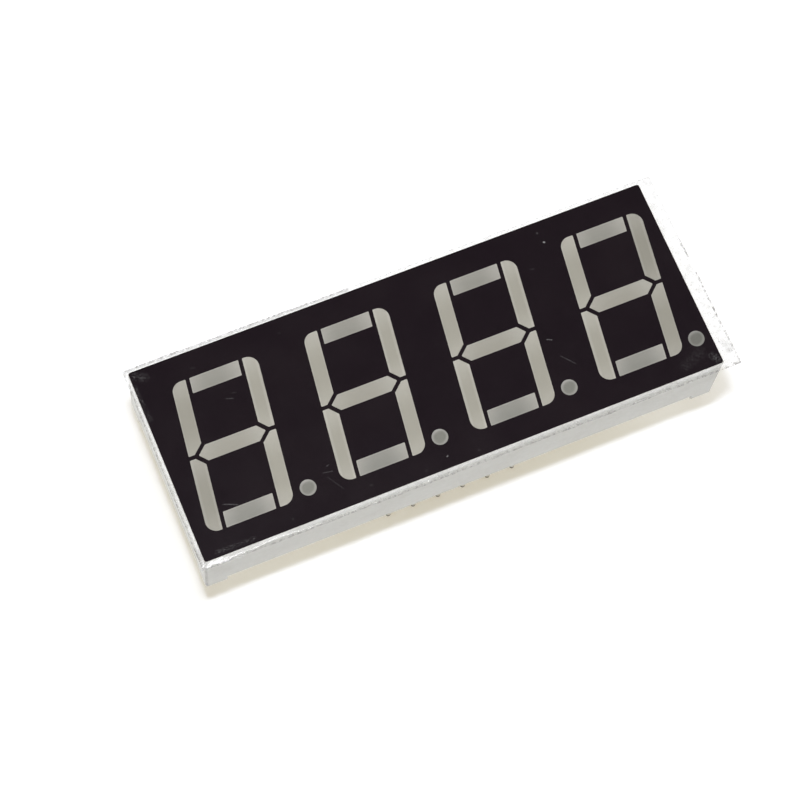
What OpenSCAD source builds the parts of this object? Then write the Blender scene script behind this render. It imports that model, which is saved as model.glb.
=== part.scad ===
// Four digit seven segment LED display module, fourteen millimetre digits.
//
// The module stands on its pins with the digits facing up:
//   origin  centre of the pin grid, in the plane of the feet that seat on a circuit board
//   +X      along the row of digits, in reading order
//   +Y      towards the tops of the digits
//   +Z      out of the face
// All sizes are in millimetres and all angles in degrees.

/* [Body] */
// Room that each digit takes along the row
digit_pitch = 12.7; // [12.4:0.1:14]
// How much the body falls short of its digits, so that modules stack end to end
stacking_gap = 0.25; // [0.2:0.05:0.8]
// Depth of the body from its front wall to its back wall
body_d = 19.0; // [19:0.1:22]
// Height of the body from its feet to the face
body_h = 8.0; // [7:0.1:12]
// Height of the corner feet below the rim
foot_h = 0.9; // [0.5:0.1:1.2]
// Length of a corner foot along each of its two walls
foot_l = 2.1; // [1.6:0.1:3]
// Thickness of the outer walls around the circuit board
wall_t = 0.95; // [0.8:0.05:0.95]
// Radius of the upright outer corners
corner_r = 0.25; // [0.1:0.05:0.5]
// Width of the small bevel under the feet and along the face
edge_bevel = 0.05; // [0.03:0.01:0.2]
// Thickness of the black ink on the face
ink_t = 0.05; // [0.03:0.01:0.1]
// White border that the ink leaves inside the bevel
ink_margin = 0.01; // [0:0.01:0.1]

/* [Digits] */
// How far the middle of the digits lies to the right of the body's middle
digits_x = 0.11; // [-0.2:0.01:0.2]
// How far the middle of the digits lies behind the body's middle
digits_y = -0.09; // [-0.2:0.01:0.2]
// Height of a digit
digit_h = 14.2; // [13.4:0.1:14.6]
// Width of a digit, measured before it is slanted
digit_w = 8.2; // [7.8:0.1:8.6]
// Slant of the digits from the upright
slant = 8; // [4:1:10]
// Width of the upright strokes
side_w = 1.38; // [1.2:0.02:1.5]
// Height of the top and bottom bars
bar_h = 1.47; // [1.3:0.01:1.5]
// Height of the middle bar
middle_h = 1.48; // [1.3:0.01:1.6]
// Gap between neighbouring segments
segment_gap = 0.38; // [0.3:0.02:0.5]
// Length of the square end of each upright stroke, at the digit's waist
end_flat = 0.57; // [0.4:0.01:0.7]
// Radius of the digit's four outer corners
digit_r = 1.0; // [0.4:0.05:1.1]
// Rounding of all other segment corners
nick_r = 0.06; // [0.03:0.01:0.1]
// Diameter of the decimal point
point_d = 1.5; // [1.3:0.05:1.6]
// Clear distance between the lower right stroke and the decimal point
point_gap = 0.72; // [0.6:0.02:0.9]

/* [Reflector wells] */
// Length of the oval at the bottom of a segment's well
well_length = 2.0; // [1.8:0.1:3]
// Width of the oval at the bottom of a segment's well
well_width = 1.2; // [1.1:0.05:1.3]
// Diameter of the bottom of a decimal point's well
point_well_d = 1.2; // [1.1:0.05:1.3]
// Height of the straight lip between a well and the face
lip_h = 0.35; // [0.2:0.05:1]

/* [Circuit board] */
// Thickness of the circuit board
board_t = 1.0; // [0.8:0.1:1.6]
// Play between the circuit board's edge and the wall
board_play = 0.1; // [0.05:0.01:0.12]
// Thickness of the copper on each side
copper_t = 0.035; // [0.02:0.005:0.07]
// Width of a conductor
track_w = 0.16; // [0.12:0.02:0.18]
// Width of the conductor that joins the chips of one digit
loop_w = 0.26; // [0.2:0.02:0.3]
// Radius of the copper ring around each pin
pin_pad_r = 0.42; // [0.38:0.01:0.44]
// Radius of a plated through connection
via_r = 0.12; // [0.1:0.01:0.14]
// Radius of the copper spot around a through connection
via_pad_r = 0.2; // [0.18:0.01:0.21]

/* [LED chips] */
// Width of an LED chip
chip_w = 0.3; // [0.2:0.02:0.32]
// Height of an LED chip
chip_h = 0.2; // [0.1:0.02:0.3]
// Distance from a chip to the spot where its bond wire lands
bond_reach = 0.7; // [0.6:0.02:0.8]
// Radius of a bond wire
wire_r = 0.015; // [0.01:0.005:0.02]
// Radius of the ball that joins a bond wire to its chip
ball_r = 0.045; // [0.03:0.005:0.06]

/* [Pins] */
// Distance between neighbouring pins
pin_pitch = 2.54; // [2.5:0.01:2.6]
// Distance from the outside of the front and back walls to the nearest row of pins
pin_inset = 1.88; // [1.85:0.01:2]
// Diameter of a pin
pin_d = 0.5; // [0.4:0.02:0.6]
// Length of a pin below the feet
pin_length = 6.5; // [3:0.1:12]
// Length of the bevel at a pin's tip
pin_tip = 0.2; // [0.1:0.05:0.3]
// Swelling of the swaged shank, on the radius
swage = 0.03; // [0.02:0.01:0.05]
// Height of the solder cone on each pin
solder_h = 0.6; // [0.4:0.05:0.9]

/* [Potting and film] */
// How far the back potting stays below the rim
potting_recess = 0.3; // [0.1:0.05:0.6]
// Thickness of the back potting
potting_t = 1.2; // [1:0.05:2]
// Thickness of the clear protective film
film_t = 0.06; // [0.03:0.01:0.1]
// Overhang of the film past the body's left end
film_left = 0.25; // [0:0.05:2]
// Overhang of the film past the back wall
film_back = 0.25; // [0:0.05:2]
// Overhang of the film past the front wall
film_front = 0.5; // [0:0.05:2]
// Overhang of the film past the right end, at its back corner
film_right_back = 1.1; // [0:0.05:2]
// Overhang of the film past the right end, at its front corner
film_right_front = 1.3; // [0:0.05:2]

/* [Hidden] */
DIGITS = 4;
SEGMENTS = "abcdefg";
// Every light of a digit: its segments and p, its decimal point.
LIGHTS = "abcdefgp";
PINS_PER_ROW = 6;

// A cut reaches this far past the surface that it opens.
cut_past = 1;
round_fn = 48;
wire_fn = 16;

// Body and levels, counted up from the feet.
body_w = DIGITS * digit_pitch - stacking_gap;
cavity_w = body_w - 2 * wall_t;
cavity_d = body_d - 2 * wall_t;
board_w = cavity_w - 2 * board_play;
board_d = cavity_d - 2 * board_play;
potting_z = foot_h + potting_recess;
solder_copper_z = potting_z + potting_t;
board_z = solder_copper_z + copper_t;
board_top_z = board_z + board_t;
well_z = board_top_z + copper_t;
ink_z = body_h - ink_t;
lip_z = ink_z - lip_h;
cavity_r = 0.4;
board_r = cavity_r - board_play;
corner_steps = 5;

// Ribs that centre the board: their width, and the side ribs' distance from the middle.
rib_w = 0.6;
rib_x = 15.5;

// Digit outline, measured upright from the middle of the digit.
half_w = digit_w / 2;
half_h = digit_h / 2;
inner_x = half_w - side_w;
bar_x = inner_x - segment_gap;
waist_y = segment_gap / 2;
flat_x = half_w - end_flat;
slope_sum = flat_x + waist_y;
tip_x = slope_sum - segment_gap * sqrt(2);
side_x = (inner_x + half_w) / 2;
side_y = (waist_y + half_h) / 2;
bar_y = half_h - bar_h / 2;
point_r = point_d / 2;
point_y = point_r - half_h;
point_x = half_w + point_y * tan(slant) + point_gap + point_r;
// Most of a stroke's width that its outer corner may round off.
round_share = 0.8;
big_r = min(digit_r, round_share * side_w);
big_steps = 8;
nick_steps = 2;
// Longest stretch of a segment's edge before another point divides it.
edge_step = 1.2;

// Copper: the loop that joins one digit's chips runs inside its segments.
loop_inset = 0.7;
loop_x = side_x - loop_inset;
loop_y = bar_y - loop_inset;
// Copper left around a chip on its patch.
chip_margin = 0.07;
chip_pad_r = chip_w / 2 + chip_margin;
row_y = body_d / 2 - pin_inset;
// Conductors pass outside the pins, as near the board's edge as copper may come.
edge_margin = 0.05;
lane_y = board_d / 2 - via_pad_r - edge_margin;
// The bottom bar's chip and the point's chip sit apart, to leave room for two conductors.
bottom_shift = 0.25;
point_reach = 0.6;

// Pins.
pin_r = pin_d / 2;
shank_r = pin_r + swage;
tip_r = pin_r - pin_tip / 2;
// Solder around the pin at the narrow end of its cone.
solder_neck = 0.06;
// Height of the flattened end of a bond wire.
stitch_h = 0.02;

// ---------- Points and outlines ----------

// Digit centres, for digits 1 to 4.
function digit_x(d) = digits_x + (d - (DIGITS + 1) / 2) * digit_pitch;
function digit_at(d) = [digit_x(d), digits_y];

// Pin centres: 1 to 6 along the front row, then 7 to 12 back along the other.
function column_x(c) = (c - (PINS_PER_ROW + 1) / 2) * pin_pitch;
function pin_at(k) = k <= PINS_PER_ROW
    ? [column_x(k), -row_y]
    : [column_x(2 * PINS_PER_ROW + 1 - k), row_y];

// Leans an upright point over by the digits' slant.
function lean(p) = [p[0] + p[1] * tan(slant), p[1]];
function straighten(p) = [p[0] - p[1] * tan(slant), p[1]];

function unit(v) = v / norm(v);
function mean(list) = [for (p = list) 1] * list / len(list);
function flip(list) = [for (i = [len(list) - 1:-1:0]) list[i]];

// Arc that rounds the corner v between the points before and after it, anticlockwise.
function corner_arc(before, v, after, r, steps) =
    let (
        u = unit(before - v),
        w = unit(after - v),
        half = acos(u * w) / 2,
        centre = v + unit(u + w) * r / sin(half),
        start = v + u * r / tan(half) - centre,
        first = atan2(start[1], start[0]),
        turn = 180 - 2 * half
    )
    [for (k = [0:steps]) centre + r * [cos(first + turn * k / steps), sin(first + turn * k / steps)]];

// Rounded outline through corners given as [x, y, radius, steps].
function rounded(corners) =
    let (n = len(corners), at = [for (c = corners) [c[0], c[1]]])
    [for (i = [0:n - 1]) each
        corner_arc(at[(i + n - 1) % n], at[i], at[(i + 1) % n], corners[i][2], corners[i][3])];

// The same outline with extra points along its long straight stretches.
function divided(outline) =
    let (n = len(outline))
    [for (i = [0:n - 1])
        let (a = outline[i], b = outline[(i + 1) % n], parts = ceil(norm(b - a) / edge_step))
        for (k = [0:parts - 1]) a + (b - a) * k / parts];

function rounded_rectangle(w, d, r) = rounded([
    for (s = [[1, -1], [1, 1], [-1, 1], [-1, -1]]) [s[0] * w / 2, s[1] * d / 2, r, corner_steps]]);

// Upright corners of each segment, anticlockwise.
function nick(x, y) = [x, y, nick_r, nick_steps];
side_corners = [
    [half_w, half_h, big_r, big_steps],
    nick(inner_x, half_h),
    nick(inner_x, slope_sum - inner_x),
    nick(flat_x, waist_y),
    nick(half_w, waist_y)
];
top_corners = [
    nick(bar_x, half_h),
    nick(-bar_x, half_h),
    nick(-bar_x, half_h - bar_h),
    nick(bar_x, half_h - bar_h)
];
middle_shoulder = tip_x - middle_h / 2;
middle_corners = [
    nick(tip_x, 0),
    nick(middle_shoulder, middle_h / 2),
    nick(-middle_shoulder, middle_h / 2),
    nick(-tip_x, 0),
    nick(-middle_shoulder, -middle_h / 2),
    nick(middle_shoulder, -middle_h / 2)
];
function mirrored(corners, sx, sy) =
    let (moved = [for (c = corners) [sx * c[0], sy * c[1], c[2], c[3]]])
    sx * sy < 0 ? flip(moved) : moved;
function upright_corners(s) =
    s == "a" ? top_corners :
    s == "b" ? side_corners :
    s == "c" ? mirrored(side_corners, 1, -1) :
    s == "d" ? mirrored(top_corners, 1, -1) :
    s == "e" ? mirrored(side_corners, -1, -1) :
    s == "f" ? mirrored(side_corners, -1, 1) :
    middle_corners;

// Outline of a segment on the face, leaned over, about the digit's middle.
function segment_outline(s) = divided(rounded([
    for (c = upright_corners(s)) concat(lean([c[0], c[1]]), [c[2], c[3]])]));

function is_side(s) = s == "b" || s == "c" || s == "e" || s == "f";
function segment_centre(s) =
    s == "a" ? [0, bar_y] :
    s == "b" ? [side_x, side_y] :
    s == "c" ? [side_x, -side_y] :
    s == "d" ? [0, -bar_y] :
    s == "e" ? [-side_x, -side_y] :
    s == "f" ? [-side_x, side_y] :
    [0, 0];
function segment_half(s) =
    is_side(s) ? [side_w / 2, side_y - waist_y] :
    s == "g" ? [tip_x, middle_h / 2] :
    [bar_x, bar_h / 2];

// Oval at the bottom of a well: each point of the outline above is carried from
// the segment's rectangle to the oval inside it.
function well_bottom(s) =
    let (
        centre = segment_centre(s),
        half = segment_half(s),
        size = is_side(s) ? [well_width, well_length] : [well_length, well_width]
    )
    [for (p = segment_outline(s))
        let (
            q = straighten(p) - centre,
            u = max(-1, min(1, q[0] / half[0])),
            v = max(-1, min(1, q[1] / half[1]))
        )
        lean(centre + [size[0] / 2 * u * sqrt(1 - v * v / 2), size[1] / 2 * v * sqrt(1 - u * u / 2)])];

// Chip and bond spot of each segment and of the point, about the digit's middle.
function chip_line(s) =
    s == "p" ? [[point_x, point_y], [0, -point_reach / 2]] :
    s == "d" ? [lean([0, bottom_shift - bar_y]), [bond_reach / 2, 0]] :
    s == "b" || s == "c" ? [lean(segment_centre(s)), lean([0, bond_reach / 2])] :
    is_side(s) ? [lean(segment_centre(s)), -lean([0, bond_reach / 2])] :
    [lean(segment_centre(s)), [bond_reach / 2, 0]];
function chip_at(s) = chip_line(s)[0] - chip_line(s)[1];
function bond_at(s) = chip_line(s)[0] + chip_line(s)[1];
// Height on the board of the conductor that joins the same segment of all digits.
function bus_y(s) = digits_y + bond_at(s)[1];

// ---------- Building blocks ----------

module at_digit(d) {
    translate([digit_x(d), digits_y, 0]) children();
}

// Closed solid through rings of points, each ring given as [z, outline]. Each end is
// a fan of faces around its own middle point.
module loft(rings) {
    n = len(rings[0][1]);
    m = len(rings);
    last = (m - 1) * n;
    bottom_middle = m * n;
    top_middle = m * n + 1;
    points = [
        for (ring = rings) for (p = ring[1]) [p[0], p[1], ring[0]],
        for (ring = [rings[0], rings[m - 1]]) [mean(ring[1])[0], mean(ring[1])[1], ring[0]]
    ];
    sides = [for (j = [0:m - 2]) for (i = [0:n - 1])
        let (a = j * n + i, b = j * n + (i + 1) % n)
        each [[a, a + n, b + n], [a, b + n, b]]];
    bottom = [for (i = [0:n - 1]) [bottom_middle, i, (i + 1) % n]];
    top = [for (i = [0:n - 1]) [top_middle, last + (i + 1) % n, last + i]];
    polyhedron(points, concat(bottom, sides, top));
}

// The space that one segment's resin fills, open at both ends.
module segment_well(s) {
    outline = segment_outline(s);
    loft([[well_z, well_bottom(s)], [lip_z, outline], [body_h, outline]]);
}

module point_well() {
    translate([point_x, point_y, 0]) {
        translate([0, 0, well_z])
            cylinder(h = lip_z - well_z, r1 = point_well_d / 2, r2 = point_r, $fn = round_fn);
        translate([0, 0, lip_z])
            cylinder(h = body_h - lip_z, r = point_r, $fn = round_fn);
    }
}

module chip(s) {
    translate([chip_at(s)[0], chip_at(s)[1], well_z + chip_h / 2])
        cube([chip_w, chip_w, chip_h], center = true);
}

// Gold wire that rises from its ball on the chip and comes down on the bond spot.
module bond_wire(s) {
    span = bond_at(s) - chip_at(s);
    reach = norm(span);
    translate([chip_at(s)[0], chip_at(s)[1], well_z])
        rotate([0, 0, atan2(span[1], span[0])]) {
            translate([0, 0, chip_h])
                cylinder(h = 2 * wire_r, r = ball_r, $fn = wire_fn);
            translate([reach / 2, 0, chip_h])
                rotate([90, 0, 0])
                    rotate_extrude(angle = 180, $fn = round_fn)
                        translate([reach / 2, 0])
                            circle(r = wire_r, $fn = wire_fn);
            translate([reach, 0, 0])
                cylinder(h = chip_h, r = wire_r, $fn = wire_fn);
            translate([reach, 0, 0])
                cylinder(h = stitch_h, r = ball_r, $fn = wire_fn);
        }
}

// One pin: bevelled tip, round length up to the feet, then a shank that swells up to
// the board's top.
module pin_solid(k) {
    translate([pin_at(k)[0], pin_at(k)[1], 0]) {
        translate([0, 0, -pin_length])
            cylinder(h = pin_tip, r1 = tip_r, r2 = pin_r, $fn = round_fn);
        translate([0, 0, pin_tip - pin_length])
            cylinder(h = pin_length - pin_tip, r = pin_r, $fn = round_fn);
        cylinder(h = board_top_z, r1 = pin_r, r2 = shank_r, $fn = round_fn);
    }
}

module all_pins() {
    for (k = [1:2 * PINS_PER_ROW]) pin_solid(k);
}

module solder_cones() {
    for (k = [1:2 * PINS_PER_ROW])
        translate([pin_at(k)[0], pin_at(k)[1], solder_copper_z - solder_h])
            cylinder(h = solder_h, r1 = pin_r + solder_neck, r2 = pin_pad_r, $fn = round_fn);
}

// Flat conductor along a line of points, reaching half its width past both ends.
function square_to(v) = [-v[1], v[0]];
function track_edge(points, side) =
    let (last = len(points) - 1, half = track_w / 2)
    [for (i = [0:last])
        let (
            before = unit(points[max(i, 1)] - points[max(i, 1) - 1]),
            after = unit(points[min(i, last - 1) + 1] - points[min(i, last - 1)]),
            corner = (square_to(before) + square_to(after)) / (1 + before * after),
            past_end = i == 0 ? -after : i == last ? before : [0, 0]
        )
        points[i] + half * (side * corner + past_end)];
module track(points) {
    polygon(concat(track_edge(points, -1), flip(track_edge(points, 1))));
}

// Copper patch with the digits' lean, from one upright corner to the other.
module leaned_patch(low, high) {
    polygon([lean(low), lean([high[0], low[1]]), lean(high), lean([low[0], high[1]])]);
}

// ---------- Conductors ----------

// Places where a conductor can run upright: between two pins, near the outer edge of a
// digit, and in the leaning gap between two digits at the height of their side strokes.
between_pins = (column_x(2) + column_x(3)) / 2;
back_loop_y = digits_y + loop_y;
front_loop_y = digits_y - loop_y;
end_x = digit_pitch;
outer_x = digit_pitch + lean([0, side_y])[0];
loop_end = lean([loop_x, loop_y]);
last_x = column_x(PINS_PER_ROW);

die_side_tracks = [
    [[column_x(3), row_y], [column_x(3), bus_y("f")]],
    [[between_pins, lane_y], [between_pins, back_loop_y], [digit_x(2) + loop_end[0], back_loop_y]],
    [[column_x(5), row_y], [column_x(5), back_loop_y],
        [digit_x(3) + lean([-loop_x, loop_y])[0], back_loop_y]],
    [[outer_x, lane_y], [outer_x, bus_y("b")]],
    [[-end_x, lane_y], [-end_x, back_loop_y], [digit_x(1) + loop_end[0], back_loop_y]],
    [[-outer_x, -lane_y], [-outer_x, bus_y("e")]],
    [[column_x(2), -row_y], [column_x(2), bus_y("d")]],
    [[column_x(3), -row_y], [column_x(3), bus_y("p")], [digit_x(2) + bond_at("p")[0], bus_y("p")]],
    [[column_x(4), -row_y], [column_x(4), bus_y("c")]],
    [[0, -lane_y], [0, bus_y("g")]],
    [[end_x, -lane_y], [end_x, front_loop_y], [digit_x(4) - loop_end[0], front_loop_y]]
];
solder_side_tracks = [
    [[column_x(2), row_y], [column_x(2), bus_y("a")]],
    [[column_x(4), row_y], [column_x(4), lane_y], [between_pins, lane_y]],
    [[last_x, row_y], [last_x, lane_y], [outer_x, lane_y]],
    [[-last_x, row_y], [-last_x, lane_y], [-end_x, lane_y]],
    [[-last_x, -row_y], [-last_x, -lane_y], [-outer_x, -lane_y]],
    [[column_x(5), -row_y], [column_x(5), -lane_y], [0, -lane_y]],
    [[last_x, -row_y], [last_x, -lane_y], [end_x, -lane_y]]
];
// Through connections: one at each bond spot, one at each turn from side to side.
turn_vias = [
    [column_x(3), bus_y("f")], [between_pins, lane_y], [outer_x, lane_y],
    [outer_x, bus_y("b")], [-end_x, lane_y], [-outer_x, -lane_y], [-outer_x, bus_y("e")],
    [column_x(2), bus_y("d")], [column_x(4), bus_y("c")], [0, -lane_y], [0, bus_y("g")],
    [end_x, -lane_y]
];
bond_vias = [for (d = [1:DIGITS]) for (s = LIGHTS) digit_at(d) + bond_at(s)];
vias = concat(turn_vias, bond_vias);

// Loop under one digit with a patch out to each chip.
module digit_loop() {
    w = loop_w / 2;
    r = chip_pad_r;
    for (x = [-loop_x, loop_x]) leaned_patch([x - w, -loop_y - w], [x + w, loop_y + w]);
    for (y = [-loop_y, -loop_inset, loop_y]) leaned_patch([-loop_x, y - w], [loop_x, y + w]);
    for (s = SEGMENTS) {
        c = straighten(chip_at(s));
        foot = is_side(s) ? [sign(c[0]) * loop_x, c[1]]
            : [c[0], s == "g" ? -loop_inset : sign(c[1]) * loop_y];
        leaned_patch([min(c[0], foot[0]) - r, min(c[1], foot[1]) - r],
            [max(c[0], foot[0]) + r, max(c[1], foot[1]) + r]);
    }
    track([chip_at("p"), [chip_at("p")[0], -loop_y], [lean([loop_x, -loop_y])[0], -loop_y]]);
    translate(chip_at("p")) square(2 * r, center = true);
}

module via_spots() {
    for (v = vias) translate(v) circle(r = via_pad_r, $fn = round_fn);
}

module pin_rings(r) {
    for (k = [1:2 * PINS_PER_ROW]) translate(pin_at(k)) circle(r = r, $fn = round_fn);
}

// ---------- Sub-parts ----------

module reflector_housing() {
    bevelled = rounded_rectangle(body_w - 2 * edge_bevel, body_d - 2 * edge_bevel, corner_r);
    full = rounded_rectangle(body_w, body_d, corner_r);
    color("whitesmoke")
    difference() {
        union() {
            difference() {
                loft([[0, bevelled], [edge_bevel, full], [ink_z - edge_bevel, full], [ink_z, bevelled]]);
                translate([0, 0, -cut_past])
                    linear_extrude(height = well_z + cut_past)
                        polygon(rounded_rectangle(cavity_w, cavity_d, cavity_r));
                below_rim(body_w - 2 * foot_l, body_d + 2 * cut_past);
                below_rim(body_w + 2 * cut_past, body_d - 2 * foot_l);
            }
            crush_ribs();
        }
        for (d = [1:DIGITS]) at_digit(d) {
            for (s = SEGMENTS) segment_well(s);
            point_well();
        }
    }
}

// Space between the corner feet, under the rim.
module below_rim(w, d) {
    translate([0, 0, (foot_h - cut_past) / 2])
        cube([w, d, foot_h + cut_past], center = true);
}

// Slim ribs on the cavity walls that centre the circuit board.
module crush_ribs() {
    rib_h = well_z - board_z;
    for (sx = [-1, 1]) {
        for (sy = [-1, 1])
            translate([sx * rib_x, sy * (cavity_d - board_play) / 2, board_z + rib_h / 2])
                cube([rib_w, board_play, rib_h], center = true);
        translate([sx * (cavity_w - board_play) / 2, 0, board_z + rib_h / 2])
            cube([board_play, rib_w, rib_h], center = true);
    }
}

module face_ink() {
    inset = 2 * (edge_bevel + ink_margin);
    color("#231b20")
    translate([0, 0, ink_z])
        linear_extrude(height = ink_t)
            difference() {
                polygon(rounded_rectangle(body_w - inset, body_d - inset, corner_r));
                for (d = [1:DIGITS]) at_digit(d) {
                    for (s = SEGMENTS) polygon(segment_outline(s));
                    translate([point_x, point_y]) circle(r = point_r, $fn = round_fn);
                }
            }
}

module segment_resin(d, s) {
    color("#a49f95")
    at_digit(d)
        difference() {
            segment_well(s);
            chip(s);
            bond_wire(s);
        }
}

module point_resin(d) {
    color("#8c8984")
    at_digit(d)
        difference() {
            point_well();
            chip("p");
            bond_wire("p");
        }
}

module circuit_board() {
    color("darkgreen")
    difference() {
        translate([0, 0, board_z])
            linear_extrude(height = board_t)
                polygon(rounded_rectangle(board_w, board_d, board_r));
        all_pins();
        for (v = vias)
            translate([v[0], v[1], board_z - cut_past])
                cylinder(h = board_t + 2 * cut_past, r = via_r, $fn = round_fn);
    }
}

module die_side_copper() {
    color("goldenrod")
    translate([0, 0, board_top_z])
        linear_extrude(height = copper_t)
            difference() {
                union() {
                    for (d = [1:DIGITS]) at_digit(d) digit_loop();
                    for (t = die_side_tracks) track(t);
                    via_spots();
                    pin_rings(pin_pad_r);
                }
                pin_rings(shank_r);
            }
}

module solder_side_copper() {
    color("goldenrod")
    difference() {
        union() {
            translate([0, 0, solder_copper_z])
                linear_extrude(height = copper_t) {
                    for (s = LIGHTS)
                        track([digit_at(1) + bond_at(s), digit_at(DIGITS) + bond_at(s)]);
                    for (t = solder_side_tracks) track(t);
                    via_spots();
                    pin_rings(pin_pad_r);
                }
            for (v = vias)
                translate([v[0], v[1], board_z]) cylinder(h = board_t, r = via_r, $fn = round_fn);
        }
        all_pins();
    }
}

module led_chips(d) {
    color("dimgray")
    at_digit(d)
        for (s = LIGHTS) chip(s);
}

module bond_wires() {
    color("gold")
    for (d = [1:DIGITS]) at_digit(d)
        for (s = LIGHTS) bond_wire(s);
}

module pin(k) {
    color("silver") pin_solid(k);
}

module solder_joints() {
    color("lightgray")
    difference() {
        solder_cones();
        all_pins();
    }
}

module back_potting() {
    color("#c9cdbf")
    difference() {
        translate([0, 0, potting_z])
            linear_extrude(height = potting_t)
                polygon(rounded_rectangle(cavity_w, cavity_d, cavity_r));
        all_pins();
        solder_cones();
    }
}

module protective_film() {
    color("lightblue", 0.4)
    translate([0, 0, body_h])
        linear_extrude(height = film_t)
            polygon([
                [-body_w / 2 - film_left, -body_d / 2 - film_front],
                [body_w / 2 + film_right_front, -body_d / 2 - film_front],
                [body_w / 2 + film_right_back, body_d / 2 + film_back],
                [-body_w / 2 - film_left, body_d / 2 + film_back]
            ]);
}

// ---------- Assembly ----------

reflector_housing();
face_ink();
for (d = [1:DIGITS]) {
    for (s = SEGMENTS)
        segment_resin(d, s);
    point_resin(d);
    led_chips(d);
}
circuit_board();
die_side_copper();
solder_side_copper();
bond_wires();
for (k = [1:2 * PINS_PER_ROW])
    pin(k);
solder_joints();
back_potting();
protective_film();
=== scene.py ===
# %% [markdown]
# # A four digit seven segment display module
#
# The real object is a white plastic reflector housing. Its face is printed black, with
# windows for twenty eight segments and four decimal points. Behind each window is a funnel
# full of grey resin with an LED chip at its bottom. The chips sit on a circuit board, twelve
# pins leave the board, and the back is cast shut. A clear film still covers the face.
#
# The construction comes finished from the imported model, so this lesson is about finishes and
# light. Only two pieces are modelled anew, because a flat solid can't show what they are: the
# film with its hand cut edge, and the resin with the hollow surface that it sets with.

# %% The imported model
import math
from functools import cached_property

import bmesh
import bpy
from mathutils import Matrix, Vector, noise


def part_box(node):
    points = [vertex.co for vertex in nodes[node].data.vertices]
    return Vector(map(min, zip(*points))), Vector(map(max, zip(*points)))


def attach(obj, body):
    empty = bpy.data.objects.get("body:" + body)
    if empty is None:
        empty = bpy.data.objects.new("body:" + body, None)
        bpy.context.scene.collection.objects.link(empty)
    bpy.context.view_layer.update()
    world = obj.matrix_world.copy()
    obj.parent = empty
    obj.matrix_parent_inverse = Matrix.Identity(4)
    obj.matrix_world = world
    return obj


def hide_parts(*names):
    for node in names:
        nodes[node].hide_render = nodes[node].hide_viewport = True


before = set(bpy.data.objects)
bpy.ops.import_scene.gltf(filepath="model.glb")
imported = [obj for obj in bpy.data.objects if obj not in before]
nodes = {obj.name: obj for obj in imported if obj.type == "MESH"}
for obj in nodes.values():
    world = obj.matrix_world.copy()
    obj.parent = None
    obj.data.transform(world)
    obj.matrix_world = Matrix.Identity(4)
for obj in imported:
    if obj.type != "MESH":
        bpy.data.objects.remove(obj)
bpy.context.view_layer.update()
MM = 0.001

# %% [markdown]
# ## Where things are
#
# Every size is read from the model, so the finishes stay right if the part changes. The
# housing's box gives the face and the walls, and the pins' tips give the floor. A segment's
# finish needs its upright centre and half size. Its box is wider than the segment because the
# digits lean, so the lean is taken off again. A decimal point is round and doesn't lean, and
# only its centre is set upright.

# %% Levels and edges
LEAN = math.tan(math.radians(8))
DIGITS = (1, 2, 3, 4)
LETTERS = "abcdefg"
PINS = range(1, 13)
body_low, body_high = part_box("reflector_housing")
film_low, film_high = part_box("protective_film")
cast_low, cast_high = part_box("back_potting")
pin_low, pin_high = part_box("pin_1")
face_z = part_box("face_ink")[1].z
floor_z = pin_low.z
print("face at", round(face_z / MM, 2), "mm, floor at", round(floor_z / MM, 2), "mm")


# %% The upright rectangle of a segment
def centre_of(node):
    """Middle of a solid's box, in metres."""
    low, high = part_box(node)
    return (low + high) / 2


def upright(node, is_round=False):
    """Centre and half size, in millimetres, of a segment or point before it is leaned."""
    low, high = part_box(node)
    centre, half = centre_of(node) / MM, (high - low) / 2 / MM
    width = half.x if is_round else half.x - half.y * LEAN
    return (centre.x - centre.y * LEAN, centre.y), (width, half.y)


for letter in LETTERS:
    print(letter, [[round(v, 2) for v in pair] for pair in upright(f"digit_1_segment_{letter}")])

# %% [markdown]
# ## The camera
#
# The module is seen from above and from its left, at arm's length, with the picture turned a
# little anticlockwise. The camera is placed by the angles a person would use to describe it:
# the point it aims at, the azimuth and elevation from there, the distance, and the roll.

# %% Camera
AIM = Vector((-3.53, -1.90, 8.0)) * MM
AZIMUTH, ELEVATION, ROLL = math.radians(-31.20), math.radians(70.65), math.radians(8.93)
DISTANCE = 235.3 * MM
FOCAL_LENGTH, SENSOR_WIDTH = 118.1, 36
NEAREST, FARTHEST = 0.01, 20

camera = bpy.data.objects.new("camera", bpy.data.cameras.new("camera"))
bpy.context.scene.collection.objects.link(camera)
bpy.context.scene.camera = camera
camera.data.sensor_width = SENSOR_WIDTH
camera.data.lens = FOCAL_LENGTH
camera.data.clip_start, camera.data.clip_end = NEAREST, FARTHEST
outward = Vector((
    math.sin(AZIMUTH) * math.cos(ELEVATION),
    -math.cos(AZIMUTH) * math.cos(ELEVATION),
    math.sin(ELEVATION),
))
camera.location = AIM + outward * DISTANCE
turn = (-outward).to_track_quat("-Z", "Y").to_matrix() @ Matrix.Rotation(ROLL, 3, "Z")
camera.rotation_euler = turn.to_euler()
print("camera at", [round(v / MM, 1) for v in camera.location], "mm")

# %% [markdown]
# ## A kit for finishes
#
# A finish is a tree of shader nodes. Most trees here need the same few steps: take the place
# on the object in millimetres, make noise from it, and map the noise to a colour, a roughness
# or a height. A small class keeps those steps short. Noise is made in object space, because
# every piece sits at the origin, so a pattern has its true size on every piece.
#
# A pattern is written as its size in millimetres and its limits: the two noise values that it
# is spread between, and what it gives at each, which is 0 and 1 if nothing else is said. The
# noise stays mostly between 0.3 and 0.7, so limits above 0.6 leave only scattered spots.


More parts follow.
